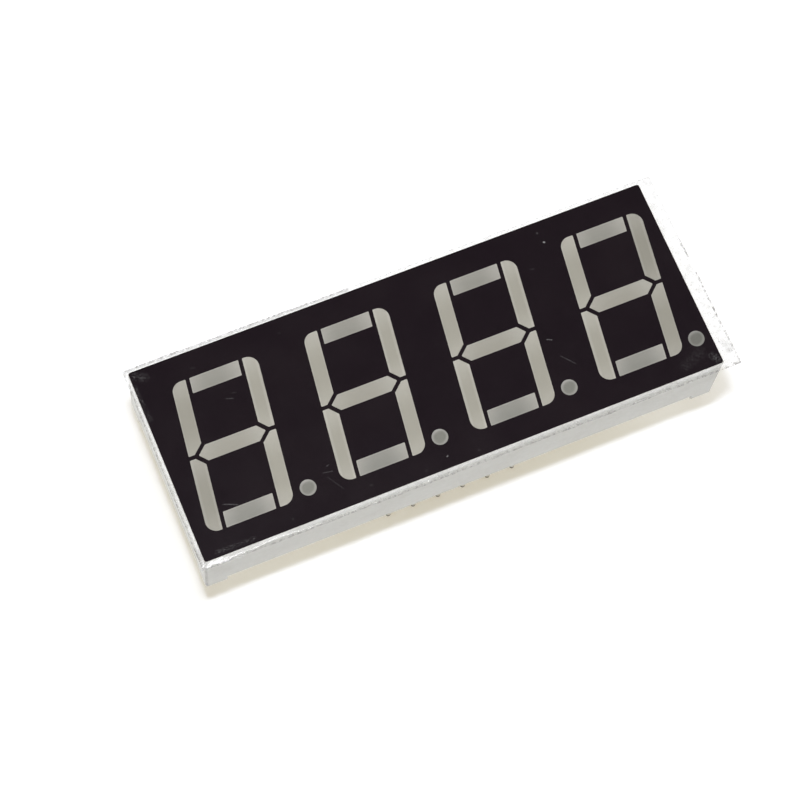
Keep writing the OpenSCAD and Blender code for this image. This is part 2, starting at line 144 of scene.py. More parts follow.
# %% Finish kit
class Finish:
    """A node tree under construction, with short names for the nodes that finishes share."""

    def __init__(self, owner):
        owner.use_nodes = True
        self.owner = owner
        self.tree = owner.node_tree
        self.tree.nodes.clear()

    @cached_property
    def place(self):
        """The place on the object, in millimetres."""
        coordinates = self.add("ShaderNodeTexCoord")
        return self.vector("SCALE", coordinates.outputs["Object"], scale=1 / MM)

    def add(self, kind, links=(), **values):
        node = self.tree.nodes.new(kind)
        for key, value in values.items():
            setattr(node, key, value)
        for socket, source in dict(links).items():
            self.put(node.inputs[socket], source)
        return node

    def put(self, socket, source):
        if isinstance(source, bpy.types.NodeSocket):
            self.tree.links.new(source, socket)
        else:
            socket.default_value = source

    def vector(self, operation, a, b=None, scale=None):
        node = self.add("ShaderNodeVectorMath", operation=operation)
        self.put(node.inputs[0], a)
        if b is not None:
            self.put(node.inputs[1], b)
        if scale is not None:
            self.put(node.inputs["Scale"], scale)
        is_number = operation in ("LENGTH", "DISTANCE")
        return node.outputs["Value" if is_number else "Vector"]

    def split(self, vector):
        """The X, Y and Z of a vector."""
        return self.add("ShaderNodeSeparateXYZ", {0: vector}).outputs

    def math(self, operation, a, b=0.0, clamp=False):
        node = self.add("ShaderNodeMath", {0: a, 1: b}, operation=operation)
        node.use_clamp = clamp
        return node.outputs[0]

    def noise(self, size, detail=3.0, stretch=(1, 1, 1), rough=0.55):
        """Noise with features of about `size` millimetres, longer where it is stretched."""
        ways = tuple(1 / (size * s) for s in stretch)
        place = self.vector("MULTIPLY", self.place, ways)
        links = {"Vector": place, "Scale": 1.0, "Detail": detail, "Roughness": rough}
        return self.add("ShaderNodeTexNoise", links).outputs["Fac"]

    def spread(self, source, low, high, out_low=0.0, out_high=1.0):
        """Maps low..high to out_low..out_high with soft ends."""
        links = {"Value": source, 1: low, 2: high, 3: out_low, 4: out_high}
        node = self.add("ShaderNodeMapRange", links, interpolation_type="SMOOTHSTEP")
        return node.outputs["Result"]

    def pattern(self, size, limits, **options):
        """Noise of a size, spread between its limits."""
        return self.spread(self.noise(size, **options), *limits)

    def blend(self, share, a, b):
        node = self.add("ShaderNodeMix", data_type="RGBA")
        self.put(node.inputs["Factor"], share)
        self.put(node.inputs["A"], a)
        self.put(node.inputs["B"], b)
        return node.outputs["Result"]

    def relief(self, height, depth):
        """A bump whose height map is in 0..1 and whose depth is in millimetres."""
        links = {"Height": height, "Distance": depth * MM, "Strength": 1.0}
        return self.add("ShaderNodeBump", links).outputs["Normal"]

    def clear(self, colour):
        return self.add("ShaderNodeBsdfTransparent", {"Color": colour}).outputs[0]

    def principled(self, colour, roughness, normal=None, **sockets):
        node = self.add("ShaderNodeBsdfPrincipled", {"Base Color": colour, "Roughness": roughness})
        for key, value in sockets.items():
            self.put(node.inputs[key.replace("_", " ").title().replace("Ior", "IOR")], value)
        if normal is not None:
            self.put(node.inputs["Normal"], normal)
        return node.outputs[0]

    def mix(self, share, a, b):
        return self.add("ShaderNodeMixShader", {0: share, 1: a, 2: b}).outputs[0]

    def done(self, surface):
        kind = "World" if isinstance(self.owner, bpy.types.World) else "Material"
        self.add(f"ShaderNodeOutput{kind}", {"Surface": surface})
        return self.owner


print("finish kit ready")


# %% Colours and paint
def grey(value, warm=0.0):
    """A near neutral colour: warm lifts red and lowers blue."""
    return (value * (1 + warm), value, value * (1 - warm), 1.0)


def new_finish(name):
    return Finish(bpy.data.materials.new(name))


def paint(node, material):
    """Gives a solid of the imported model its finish."""
    mesh = nodes[node].data
    mesh.materials.clear()
    mesh.materials.append(material)


WHITE = grey(1.0)
IN_PLANE = (1, 1, 0)
print("white is", WHITE)

# %% [markdown]
# ## The floor
#
# The module stands on its pins on a pale sheet. The sheet would clip to white if it were lit
# that brightly, so its colour does the work instead. For what the camera sees, and for what
# shiny surfaces mirror, part of its brightness is its own glow and the rest is lit. A shadow
# then takes away only the lit share, and stays light and a little warm. Far from the module,
# out of the lamps' reach, the sheet simply glows white. The light that it throws back at the
# module is that of plain white card. From below the sheet is clear, so that the pins and the
# cast back can be looked at too.

# %% Floor
FLOOR_GLOW = (0.430, 0.372, 0.247, 1.0)
FLOOR_LIT = (0.670, 0.726, 0.848, 1.0)
FLOOR_CARD = grey(0.85)
FLOOR_HALF = 4.0
FLOOR_FADE = (60.0, 110.0)
ways = ((-1, -1), (1, -1), (1, 1), (-1, 1))
floor_mesh = bpy.data.meshes.new("floor")
floor_mesh.from_pydata([(x * FLOOR_HALF, y * FLOOR_HALF, floor_z) for x, y in ways],
                       [], [(0, 1, 2, 3)])
floor = bpy.data.objects.new("floor", floor_mesh)
bpy.context.scene.collection.objects.link(floor)
print("floor", 2 * FLOOR_HALF, "m square")


# %% Floor sheet
def seen_rays(kit):
    """1 for rays whose target shows in the picture: straight, mirrored or passed through."""
    path = kit.add("ShaderNodeLightPath").outputs
    seen = kit.math("MAXIMUM", path["Is Camera Ray"], path["Is Glossy Ray"])
    return kit.math("MAXIMUM", seen, path["Is Transmission Ray"])


def emission(kit, colour):
    return kit.add("ShaderNodeEmission", {"Color": colour, "Strength": 1.0}).outputs[0]


def diffuse(kit, colour):
    return kit.add("ShaderNodeBsdfDiffuse", {"Color": colour}).outputs[0]


sheet = new_finish("floor_sheet")
lit, glow = diffuse(sheet, FLOOR_LIT), emission(sheet, FLOOR_GLOW)
near = sheet.add("ShaderNodeAddShader", {0: lit, 1: glow}).outputs[0]
away = sheet.vector("LENGTH", sheet.vector("MULTIPLY", sheet.place, IN_PLANE))
shown = sheet.mix(sheet.spread(away, *FLOOR_FADE), near, emission(sheet, WHITE))
opaque = sheet.mix(seen_rays(sheet), diffuse(sheet, FLOOR_CARD), shown)
from_below = sheet.add("ShaderNodeNewGeometry").outputs["Backfacing"]
floor_mesh.materials.append(sheet.done(sheet.mix(from_below, opaque, sheet.clear(WHITE))))
print("floor painted")

# %% [markdown]
# ## The light
#
# The module is lit from close above, a little from its left and front, as by a lamp that is
# held next to a camera. A close lamp spreads the shadow, so it is longer than the body, and a
# small one gives it a crisp edge. A wider, weaker panel beside the lamp softens the shadow's
# far end, a soft box at the right evens out the face, and a low one at the left brings out
# the left wall. The rest is a pale room: white around the horizon, brighter on both sides
# than in front, and darker overhead, which keeps the glossy black face black. Looked at
# straight, the room is plain white. All of it together lights a level white surface as white.


# %% Lamps
def lamp(name, level, place, size):
    """A rectangular lamp, in millimetres, that aims at the face; level 1 would light it white."""
    data = bpy.data.lights.new(name, "AREA")
    data.shape = "RECTANGLE"
    data.size, data.size_y = (v * MM for v in size)
    place = Vector(place) * MM
    aim = Vector((0, 0, face_z)) - place
    data.energy = level * math.pi ** 2 * aim.length ** 3 / -aim.z
    thing = bpy.data.objects.new(name, data)
    thing.location = place
    thing.rotation_euler = aim.to_track_quat("-Z", "Y").to_euler()
    bpy.context.scene.collection.objects.link(thing)
    print(name, round(data.energy, 3), "W")


lamp("small_lamp", 0.60, (-32, -25, 206), (16, 16))
lamp("wide_panel", 0.20, (-4, -22, 206), (56, 20))
lamp("right_box", 0.12, (260, 20, 250), (150, 220))
lamp("left_box", 0.014, (-300, 60, 60), (200, 100))

# %% Room
ROOM_FILL = 0.55
ROOM_SIDES = (0.0, 1.0, 0.35, 1.9)
ROOM_RISE = (0.35, 0.85)
ROOM_TOP = grey(0.10)
room = bpy.data.worlds.new("room")
bpy.context.scene.world = room
air = Finish(room)
way = air.split(air.add("ShaderNodeTexCoord").outputs["Generated"])
tone = air.blend(air.spread(way["Z"], *ROOM_RISE), WHITE, ROOM_TOP)
straight = air.add("ShaderNodeLightPath").outputs["Is Camera Ray"]
tone = air.blend(straight, tone, WHITE)
sideways = air.spread(air.math("ABSOLUTE", way["X"]), *ROOM_SIDES)
fill = air.math("MULTIPLY", sideways, ROOM_FILL)
level = air.add("ShaderNodeMix", {"Factor": seen_rays(air), "A": fill, "B": 1.0})
sky = air.add("ShaderNodeBackground", {"Color": tone, "Strength": level.outputs["Result"]})
air.done(sky.outputs[0])
bpy.context.scene.view_settings.view_transform = "Standard"
print("room fills to", ROOM_FILL)

# %% [markdown]
# ## The housing
#
# The housing is moulded in white polycarbonate loaded with titanium white, so that it
# reflects the chips' light. The moulding is satin, with a very fine texture from the tool,
# and it has picked up faint grey rubs from handling. Fine noise sets the texture and the
# roughness, and a stretched, sharper noise gives the rubs. Along its upright corners it is
# painted darker in patches, as painted shade of the rounded edge. A corner is where a place
# is close to two walls at once.

# %% White moulded plastic
# These whites are set below the plastic's own white, so that the walls come out as grey as they
# are in their shade: that much of them is painted shade.
SHADED_HOUSING_WHITE = (0.655, 0.646, 0.600, 1.0)
SHADED_HOUSING_DULL = (0.617, 0.604, 0.556, 1.0)
RUB_TONE, CORNER_SHADE_TONE = grey(0.42, 0.02), grey(0.30, 0.06)
MOTTLE = 2.6, (0.35, 0.70)
RUBS = 0.55, (0.66, 0.74, 0.0, 0.35)
RUB_STRETCH = (2.5, 2.5, 0.8)
CORNER_SHADE = (-0.30, -0.10, 0.0, 0.66)
CORNER_SHADE_PATCHES = 0.5, (0.35, 0.60, 0.6, 1.0)
SATIN = 0.4, (0.3, 0.7, 0.34, 0.50)
TOOLING_SIZE, TOOLING_DEPTH = 0.09, 0.006
PLASTIC_IOR = 1.58


def past_walls(kit):
    """How far a place is past the end walls, and past the front and back, in millimetres."""
    away = kit.vector("ABSOLUTE", kit.place)
    past = kit.split(kit.vector("SUBTRACT", away, tuple(body_high / MM)))
    return past["X"], past["Y"]


moulded = new_finish("white_moulding")
tint = moulded.blend(moulded.pattern(*MOTTLE, detail=4), SHADED_HOUSING_WHITE, SHADED_HOUSING_DULL)
rubbed = moulded.pattern(*RUBS, detail=5, stretch=RUB_STRETCH, rough=0.7)
tint = moulded.blend(rubbed, tint, RUB_TONE)
# Painted shade: darker patches along the upright corners, where the rounded edge turns away from
# the light.
at_corner = moulded.spread(moulded.math("MINIMUM", *past_walls(moulded)), *CORNER_SHADE)
corner_shade = moulded.math("MULTIPLY", at_corner, moulded.pattern(*CORNER_SHADE_PATCHES))
tint = moulded.blend(corner_shade, tint, CORNER_SHADE_TONE)
tooling = moulded.relief(moulded.noise(TOOLING_SIZE, detail=2), TOOLING_DEPTH)
plastic = moulded.principled(tint, moulded.pattern(*SATIN), tooling, ior=PLASTIC_IOR)
paint("reflector_housing", moulded.done(plastic))
print("housing painted")

# %% [markdown]
# ## The black face
#
# The face is screen printed with a black ink that has a trace of purple in it. Ink levels out
# before it dries, so it is smooth with a faint orange peel, and a little uneven in depth.

# %% Black ink
INK_BLACK = (0.0103, 0.0061, 0.0090, 1.0)
INK_PALE = (0.0129, 0.0083, 0.0110, 1.0)
INK_DEPTH = 6.0, (0.30, 0.75)
INK_SHINE = 2.5, (0.25, 0.75, 0.22, 0.27)
INK_GLOSS = 0.12
PEEL_SIZE, PEEL_DEPTH = 0.25, 0.003

ink = new_finish("black_ink")
black = ink.blend(ink.pattern(*INK_DEPTH, detail=2), INK_BLACK, INK_PALE)
peel = ink.relief(ink.noise(PEEL_SIZE, detail=2), PEEL_DEPTH)
shine = ink.pattern(*INK_SHINE, detail=2)
paint("face_ink", ink.done(ink.principled(black, shine, peel, specular_ior_level=INK_GLOSS)))
print("face painted")

# %% [markdown]
# ## The segments
#
# Each window ends a funnel of resin with a grey diffusing pigment. Light that enters near the
# rim comes straight back off the white wall, and light that enters in the middle sinks
# deeper, so a segment is paler along its rim. The depth is worked out in the shader: the
# place is leaned upright again, and its distance to the nearest side of the segment's own
# rectangle is the depth. One group of nodes does that, and all segments share it.


# %% Node groups
def node_group(name, sockets, parts, links):
    """A shader group and its nodes, from its sockets, its nodes' kinds and its links."""
    group = bpy.data.node_groups.new(name, "ShaderNodeTree")
    for socket, way, kind in sockets:
        group.interface.new_socket(socket, in_out=way, socket_type=f"NodeSocket{kind}")
    made = {"in": group.nodes.new("NodeGroupInput"), "out": group.nodes.new("NodeGroupOutput")}
    for part, kind, operation in parts:
        made[part] = group.nodes.new(f"ShaderNode{kind}")
        if operation:
            made[part].operation = operation
    for source, out, target, into in links:
        group.links.new(made[source].outputs[out], made[target].inputs[into])
    print("group", name, "has", len(group.nodes), "nodes")
    return group, made


# %% Depth below a window's rim
distance_to_rim, rim_nodes = node_group(
    "distance_to_rim",
    (("Place", "INPUT", "Vector"), ("Centre", "INPUT", "Vector"), ("Half", "INPUT", "Vector"),
     ("Distance", "OUTPUT", "Float"), ("Along", "OUTPUT", "Vector")),
    (("split", "SeparateXYZ", None), ("lean", "Math", "MULTIPLY"),
     ("straight", "Math", "SUBTRACT"), ("join", "CombineXYZ", None),
     ("from_centre", "VectorMath", "SUBTRACT"), ("ratio", "VectorMath", "DIVIDE"),
     ("off", "VectorMath", "ABSOLUTE"), ("inside", "VectorMath", "SUBTRACT"),
     ("sides", "SeparateXYZ", None), ("nearest", "Math", "MINIMUM")),
    (("in", "Place", "split", 0), ("split", "Y", "lean", 0), ("split", "X", "straight", 0),
     ("lean", 0, "straight", 1), ("straight", 0, "join", 0), ("split", "Y", "join", 1),
     ("join", 0, "from_centre", 0), ("in", "Centre", "from_centre", 1),
     ("from_centre", 0, "ratio", 0), ("in", "Half", "ratio", 1),
     ("from_centre", 0, "off", 0), ("in", "Half", "inside", 0), ("off", 0, "inside", 1),
     ("inside", 0, "sides", 0), ("sides", "X", "nearest", 0), ("sides", "Y", "nearest", 1),
     ("nearest", 0, "out", "Distance"), ("ratio", 0, "out", "Along")))
rim_nodes["lean"].inputs[1].default_value = LEAN

# %% [markdown]
# A funnel is narrow at the bottom, so towards both ends of a segment the white wall rises
# close under the surface, and the resin looks paler there. The top or right end is painted
# paler still, and a bar and a point are painted paler towards their far side: painted light,
# for the white wall that shows through from where the camera stands. The top and bottom
# bars are a little cooler and darker than the strokes. Next to the module's two ends, light
# leaks out through the side of the housing, and the outermost strokes are painted darker for
# it: painted shade. The funnel under a point is round, so a point has a pale ring. A finish
# is one recipe with a core and a rim colour, and limits that say where, from -1 to 1 along or
# across the segment, it is pale.

# %% Tones of the resin
STROKE = (0.358, 0.343, 0.293), (0.486, 0.468, 0.420)
MIDDLE = (0.338, 0.324, 0.280), (0.439, 0.424, 0.383)
TOP_BAR = (0.282, 0.276, 0.246), (0.416, 0.401, 0.368)
BOTTOM_BAR = (0.250, 0.248, 0.224), (0.407, 0.393, 0.361)
POINT = (0.203, 0.203, 0.180), (0.375, 0.368, 0.344)
CLOUD = (0.305, 0.296, 0.264)
TONES = {"a": TOP_BAR, "d": BOTTOM_BAR, "g": MIDDLE}
# Painted shade: how much darker the outermost strokes are made.
LEAK, LEAK_NEAR, LEAK_REACH = 0.24, 1.0, 4.0


def end_shade(x):
    """Painted shade: the share of colour kept, by the distance in mm from the nearer end."""
    inward = body_high.x / MM - abs(x)
    return 1 - LEAK * max(0, 1 - (inward - LEAK_NEAR) / LEAK_REACH)


def shaded(colour, share):
    return (*(c * share for c in colour), 1.0)


print("outermost stroke keeps", round(end_shade(centre_of("digit_1_segment_f").x / MM), 2))

# %% Grey resin
# Both ends are paler; that the top or right end is paler still, and the slopes that make the far
# side paler, are painted light.
NEAR_END = (0.15, 1.1, 0.0, 0.72)
FAR_END = (-0.3, -1.1, 0.0, 0.48)
RIM_GLOW = (0.0, 0.16, 0.42, 0.0)
BAR_SLOPE = (-0.9, 1.0, 0.0, 0.22)
POINT_RING = (0.58, 0.92, 0.0, 0.6)
POINT_SLOPE = (0.35, 1.0, 0.0, 0.4)
RESIN_CLOUDS = 0.35, (0.3, 0.7, 0.0, 0.12)
RESIN_GLOSS = 0.5, (0.3, 0.7, 0.28, 0.40)
RESIN_SKIN_SIZE, RESIN_SKIN_DEPTH = 0.2, 0.002
RESIN_IOR, RESIN_SPECULAR = 1.52, 0.3


def grey_resin(name, node, tones, is_round=False):
    """Resin paler to its rim and ends and, as painted light, its far side, with faint clouds."""
    centre, half = upright(node, is_round)
    # Painted shade: the outermost strokes keep less of their colour.
    light = end_shade(centre_of(node).x / MM)
    core, rim = (shaded(colour, light) for colour in tones)
    resin = new_finish(name)
    group = resin.add("ShaderNodeGroup", node_tree=distance_to_rim)
    resin.put(group.inputs["Place"], resin.place)
    group.inputs["Centre"].default_value = (*centre, 0)
    group.inputs["Half"].default_value = (*half, 1)
    along = group.outputs["Along"]
    is_bar = half[0] > half[1]
    if is_round:
        out = resin.vector("LENGTH", resin.vector("MULTIPLY", along, IN_PLANE))
        slope = resin.spread(resin.split(along)["Y"], *POINT_SLOPE)
        paler = resin.math("ADD", resin.spread(out, *POINT_RING), slope)
    else:
        long_way = resin.split(along)["X" if is_bar else "Y"]
        ends = resin.math("MAXIMUM", resin.spread(long_way, *NEAR_END),
                          resin.spread(long_way, *FAR_END))
        paler = resin.math("ADD", ends, resin.spread(group.outputs["Distance"], *RIM_GLOW))
        if is_bar:
            slope = resin.spread(resin.split(along)["Y"], *BAR_SLOPE)
            paler = resin.math("ADD", paler, slope)
    colour = resin.blend(resin.math("MINIMUM", paler, 1.0), core, rim)
    clouds = resin.pattern(*RESIN_CLOUDS, detail=4)
    colour = resin.blend(clouds, colour, shaded(CLOUD, light))
    skin = resin.relief(resin.noise(RESIN_SKIN_SIZE, detail=2), RESIN_SKIN_DEPTH)
    return resin.done(resin.principled(colour, resin.pattern(*RESIN_GLOSS), skin,
                                       ior=RESIN_IOR, specular_ior_level=RESIN_SPECULAR))


for d in DIGITS:
    for letter in LETTERS:
        segment = f"digit_{d}_segment_{letter}"
        paint(segment, grey_resin(f"resin_{d}{letter}", segment, TONES.get(letter, STROKE)))
    point = f"digit_{d}_point"
    paint(point, grey_resin(f"resin_{d}_point", point, POINT, is_round=True))
print(len(DIGITS) * len(LETTERS), "segments and", len(DIGITS), "points painted")

# %% [markdown]
# ## A closed sheet
#
# Both pieces that are modelled here are thin and closed, with a free surface that isn't flat.
# Each is made from two grids of points, one below and one above, and a ring of quads joins
# them around the rim. Written once, it serves both. A grid can be made as fine as its surface
# needs, which a box with a bevel can't.


# %% Sheet between two grids
def closed_sheet(name, under, over, flat_top=False, edge_band=False):
    """A piece between two grids of points, joined around the rim.

    With edge_band, the rim and the outermost quads above take the second material.
    """
    shape = bmesh.new()
    lower, upper = ([[shape.verts.new(p) for p in row] for row in grid] for grid in (under, over))
    nu, nv = len(under[0]) - 1, len(under) - 1
    for j in range(nv):
        for i in range(nu):
            a, b, c, d = (i, j), (i + 1, j), (i + 1, j + 1), (i, j + 1)
            shape.faces.new([lower[y][x] for x, y in (a, d, c, b)]).smooth = True
            top = shape.faces.new([upper[y][x] for x, y in (a, b, c, d)])
            top.smooth = not flat_top
            top.material_index = int(edge_band and (i in (0, nu - 1) or j in (0, nv - 1)))
    rim = ([(i, 0) for i in range(nu)] + [(nu, j) for j in range(nv)]
           + [(i, nv) for i in range(nu, 0, -1)] + [(0, j) for j in range(nv, 0, -1)])
    for (i, j), (k, m) in zip(rim, rim[1:] + rim[:1]):
        side = shape.faces.new([lower[j][i], lower[m][k], upper[m][k], upper[j][i]])
        side.material_index = int(edge_band)
    mesh = bpy.data.meshes.new(name)
    shape.to_mesh(mesh)
    shape.free()
    piece = bpy.data.objects.new(name, mesh)
    bpy.context.scene.collection.objects.link(piece)
    print(name, "has", len(mesh.polygons), "faces")
    return piece


def wander(x, y, seed, size):
    """Smooth noise around 0 in the plane, with features of that size."""
    return noise.noise(Vector((x / size, y / size, seed)))


print("sheet maker ready")

# %% [markdown]
# ## The film
#
# A clear film protects the face until the module is fitted. It was cut by hand, so it stands
# out past the body, most of all at the right end, and its edge isn't quite straight. Where it
# stands out it waves a little, and droops at the front. It could be one flat box, but light
# catches a waved sheet in glints, so it is a fine grid of quads, bent by smooth noise where
# nothing holds it flat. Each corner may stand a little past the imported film, as hand cut ones
# do. The outermost quads are a narrow band with a material of its own, for the edge that the
# knife crushed, and the band's inner line wanders like the burrs of a real cut.

# %% Outline of the film
CUT_SPARE = ((-0.15, -0.08), (0.10, -0.08), (0.08, 0.02), (-0.10, 0.04))
CUT_WANDER = 0.05 * MM
LENGTH_WEIGHT = 0.2
RAG_SIZE, FINE_RAG_SIZE, FINE_RAG_SHARE = 1.3 * MM, 0.4 * MM, 0.6
END_POWER, SIDE_POWER = 24, 12


def film_corners():
    """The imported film's four corners: front left, front right, back right, back left.

    The film is long, so its length weighs less than its depth in the choice.
    """
    points = [v.co for v in nodes["protective_film"].data.vertices]
    ways = [(-1, -1), (1, -1), (1, 1), (-1, 1)]
    return [max(points, key=lambda c: c.x * sx * LENGTH_WEIGHT + c.y * sy) for sx, sy in ways]


corner = [Vector((c.x + x * MM, c.y + y * MM, 0)) for c, (x, y) in zip(film_corners(), CUT_SPARE)]
print("film corners in mm:", [[round(v / MM, 2) for v in c.xy] for c in corner])


def film_place(u, v):
    """Plan position on the film for u along the row and v from front to back, both 0 to 1."""
    front = corner[0].lerp(corner[1], u)
    back = corner[3].lerp(corner[2], u)
    p = front.lerp(back, v)
    rag_x, rag_y = (wander(p.x, p.y, seed, RAG_SIZE) for seed in (3, 7))
    fine_x, fine_y = (wander(p.x, p.y, seed, FINE_RAG_SIZE) for seed in (5, 9))
    p.x += (2 * u - 1) ** END_POWER * CUT_WANDER * (rag_x + FINE_RAG_SHARE * fine_x)
    p.y += (2 * v - 1) ** SIDE_POWER * CUT_WANDER * (rag_y + FINE_RAG_SHARE * fine_y)
    return p


# %% Lift of the film
FREE_REACH = 0.25 * MM
WAVE_HEIGHT = 0.03 * MM
WAVE_LENGTH, SHORT_WAVE_LENGTH, SLACK_LENGTH = 2.2 * MM, 0.99 * MM, 5.5 * MM
SHORT_WAVE_SHARE = 0.5
DROOP = 0.30 / MM
SLACK_MEAN, SLACK_CHANGE = 0.6, 0.8
CRINKLE_HEIGHT, CRINKLE_SIZE, CRINKLE_REACH = 0.035 * MM, 0.9 * MM, 4 * MM


def film_lift(p):
    """How far the film rises or sags there: nothing over the body, droop and waves past it."""
    past = max(abs(p.x) - body_high.x, abs(p.y) - body_high.y, 0)
    free = min(past / FREE_REACH, 1)
    short_wave = SHORT_WAVE_SHARE * wander(p.x, p.y, 2, SHORT_WAVE_LENGTH)
    wave = wander(p.x, p.y, 1, WAVE_LENGTH) + short_wave
    slack = SLACK_MEAN + SLACK_CHANGE * wander(p.x, p.y, 6, SLACK_LENGTH)
    droop = DROOP * max(-p.y - body_high.y, 0) ** 2 * max(slack, 0)
    to_corner = math.hypot(p.x - body_low.x, p.y - body_low.y)
    crinkle = CRINKLE_HEIGHT * wander(p.x, p.y, 8, CRINKLE_SIZE)
    return free * (WAVE_HEIGHT * wave + math.exp(-to_corner / CRINKLE_REACH) * crinkle) - droop


middle = corner[0].lerp(corner[1], 0.5)
print("film at the front edge sags", round(-film_lift(middle) / MM, 3), "mm")

# %% Film mesh
FILM_STEP = 0.25 * MM
FILM_GAP = 0.01 * MM
CUT_BAND = 0.17 * MM
BURR, BURR_SIZE, BURR_LEAST = 1.5, 0.45 * MM, 0.3
END_SEED, SIDE_SEED = 11, 12


def film_shares(length):
    """Grid lines along one side of the film, from 0 to 1, with a narrow band at both ends."""
    count = round((length - 2 * CUT_BAND) / FILM_STEP)
    inner = [CUT_BAND + (length - 2 * CUT_BAND) * k / count for k in range(count + 1)]
    return [v / length for v in [0, *inner, length]]


def burred(share, along, seed):
    """Moves the band's inner line in and out, so the crushed edge is thin here and thick there."""
    edge = round(share)
    width = max(1 + BURR * wander(along, 0, seed, BURR_SIZE), BURR_LEAST)
    return edge + (share - edge) * width


def film_grid(level):
    """Points of one side of the film, in rows from front to back."""
    size = film_high - film_low
    across, deep = film_shares(size.x), film_shares(size.y)
    rows = []
    for j, v in enumerate(deep):
        row = []
        for i, u in enumerate(across):
            near_end, near_side = i in (1, len(across) - 2), j in (1, len(deep) - 2)
            p = film_place(burred(u, v * size.y, END_SEED + i) if near_end else u,
                           burred(v, u * size.x, SIDE_SEED + j) if near_side else v)
            row.append((p.x, p.y, level + film_lift(p)))
        rows.append(row)
    return rows


cut_film = closed_sheet("cut_film", film_grid(film_low.z + FILM_GAP), film_grid(film_high.z),
                        edge_band=True)
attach(cut_film, "root")
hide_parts("protective_film")

# %% [markdown]
# The film is clear, but it isn't clean. It has hairline scratches and smudges from handling,
# specks of dust on it, and a crease at the corner where it was pressed down, where its glints
# are painted on as white flecks. Where it bends off the edge of the face, a pale line is
# painted around the black as a highlight. The band that the knife crushed looks grey, with gaps.
# Where the film is marked, it scatters light like a dull surface, and elsewhere it lets light
# through and mirrors a little. Scratches, dust spots, smudges, hazy stretches and the worst
# of the cut are placed one by one with a second group, a soft line between two points. Noise
# breaks up all but the dust spots.

# %% A soft line between two points
hairline, line_nodes = node_group(
    "hairline",
    (("Place", "INPUT", "Vector"), ("From", "INPUT", "Vector"), ("Span", "INPUT", "Vector"),
     ("Width", "INPUT", "Float"), ("Strength", "INPUT", "Float"), ("Mark", "OUTPUT", "Float")),
    (("flat", "VectorMath", "MULTIPLY"), ("rel", "VectorMath", "SUBTRACT"),
     ("along", "VectorMath", "DOT_PRODUCT"), ("square", "VectorMath", "DOT_PRODUCT"),
     ("share", "Math", "DIVIDE"), ("near", "VectorMath", "SCALE"),
     ("off", "VectorMath", "DISTANCE"), ("thin", "Math", "DIVIDE"),
     ("fade", "Math", "SUBTRACT"), ("mark", "Math", "MULTIPLY")),
    (("in", "Place", "flat", 0), ("flat", 0, "rel", 0), ("in", "From", "rel", 1),
     ("rel", 0, "along", 0), ("in", "Span", "along", 1), ("in", "Span", "square", 0),
     ("in", "Span", "square", 1), ("along", "Value", "share", 0),
     ("square", "Value", "share", 1), ("in", "Span", "near", 0),
     ("share", 0, "near", "Scale"), ("rel", 0, "off", 0), ("near", 0, "off", 1),
     ("off", "Value", "thin", 0), ("in", "Width", "thin", 1), ("thin", 0, "fade", 1),
     ("fade", 0, "mark", 0), ("in", "Strength", "mark", 1), ("mark", 0, "out", "Mark")))
line_nodes["flat"].inputs[1].default_value = IN_PLANE
line_nodes["fade"].inputs[0].default_value = 1
for part in ("share", "fade"):
    line_nodes[part].use_clamp = True


def lines_on(kit, rows):
    """The strongest of several soft lines at each place."""
    marks = 0.0
    for x0, y0, x1, y1, width, strength in rows:
        line = kit.add("ShaderNodeGroup", {"Place": kit.place}, node_tree=hairline)
        line.inputs["From"].default_value = (x0, y0, 0)
        line.inputs["Span"].default_value = (x1 - x0, y1 - y0, 0)
        line.inputs["Width"].default_value = width
        line.inputs["Strength"].default_value = strength
        marks = kit.math("MAXIMUM", marks, line.outputs["Mark"])
    return marks


# %% Marks on the film
# Each row holds x and y of both ends in millimetres, the width in millimetres, the strength.
SCRATCHES = (
    (-21.8, -5.1, -20.6, -5.6, 0.07, 0.08),
    (-12.5, -5.70, -11.7, -5.85, 0.06, 0.055),
    (-12.0, -5.25, -11.8, -5.15, 0.06, 0.08),
    (-12.3, -6.2, -11.4, -7.7, 0.04, 0.04),
    (-17.95, 3.97, -17.3, 3.75, 0.07, 0.050),
    (-17.25, 4.29, -16.9, 4.18, 0.05, 0.030),
    (11.6, -3.4, 12.6, -4.6, 0.04, 0.07),
    (11.1, -1.5, 11.5, -1.7, 0.07, 0.12),
)
DUST_SPOTS = (
    (14.66, 7.34, 14.74, 7.30, 0.10, 0.30),
    (-1.70, -8.38, -1.62, -8.35, 0.09, 0.14),
    (14.42, 8.40, 14.50, 8.36, 0.12, 0.040),
    (12.50, 5.30, 12.72, 5.26, 0.10, 0.018),
    (-16.64, -8.67, -16.56, -8.64, 0.10, 0.024),
    (-9.05, -8.32, -8.90, -8.33, 0.10, 0.019),
    (-3.97, -8.93, -3.85, -8.90, 0.10, 0.019),
    (1.15, -8.90, 1.25, -8.88, 0.10, 0.026),
    (-19.80, 7.80, -19.50, 7.75, 0.09, 0.019),
    (-11.27, 8.05, -11.15, 8.01, 0.10, 0.018),
)
SMUDGES = (
    (-24.8, 8.9, -24.0, 8.5, 0.55, 0.028),
    (-25.1, 8.0, -24.9, 4.6, 0.25, 0.030),
    (-24.0, -8.97, -22.8, -9.00, 0.25, 0.036),
    (-22.8, -9.00, -20.4, -9.02, 0.26, 0.028),
    (21.8, -8.5, 23.6, -7.8, 0.70, 0.013),
    (24.5, -8.5, 24.9, -9.1, 0.45, 0.045),
)
HAZE = (
    (-25.4, 9.65, -4.0, 9.65, 0.35, 0.30),
    (-25.6, -9.6, -25.6, -8.3, 0.60, 0.45),
    (26.2, -8.5, 26.1, -7.9, 0.45, 0.14),
)
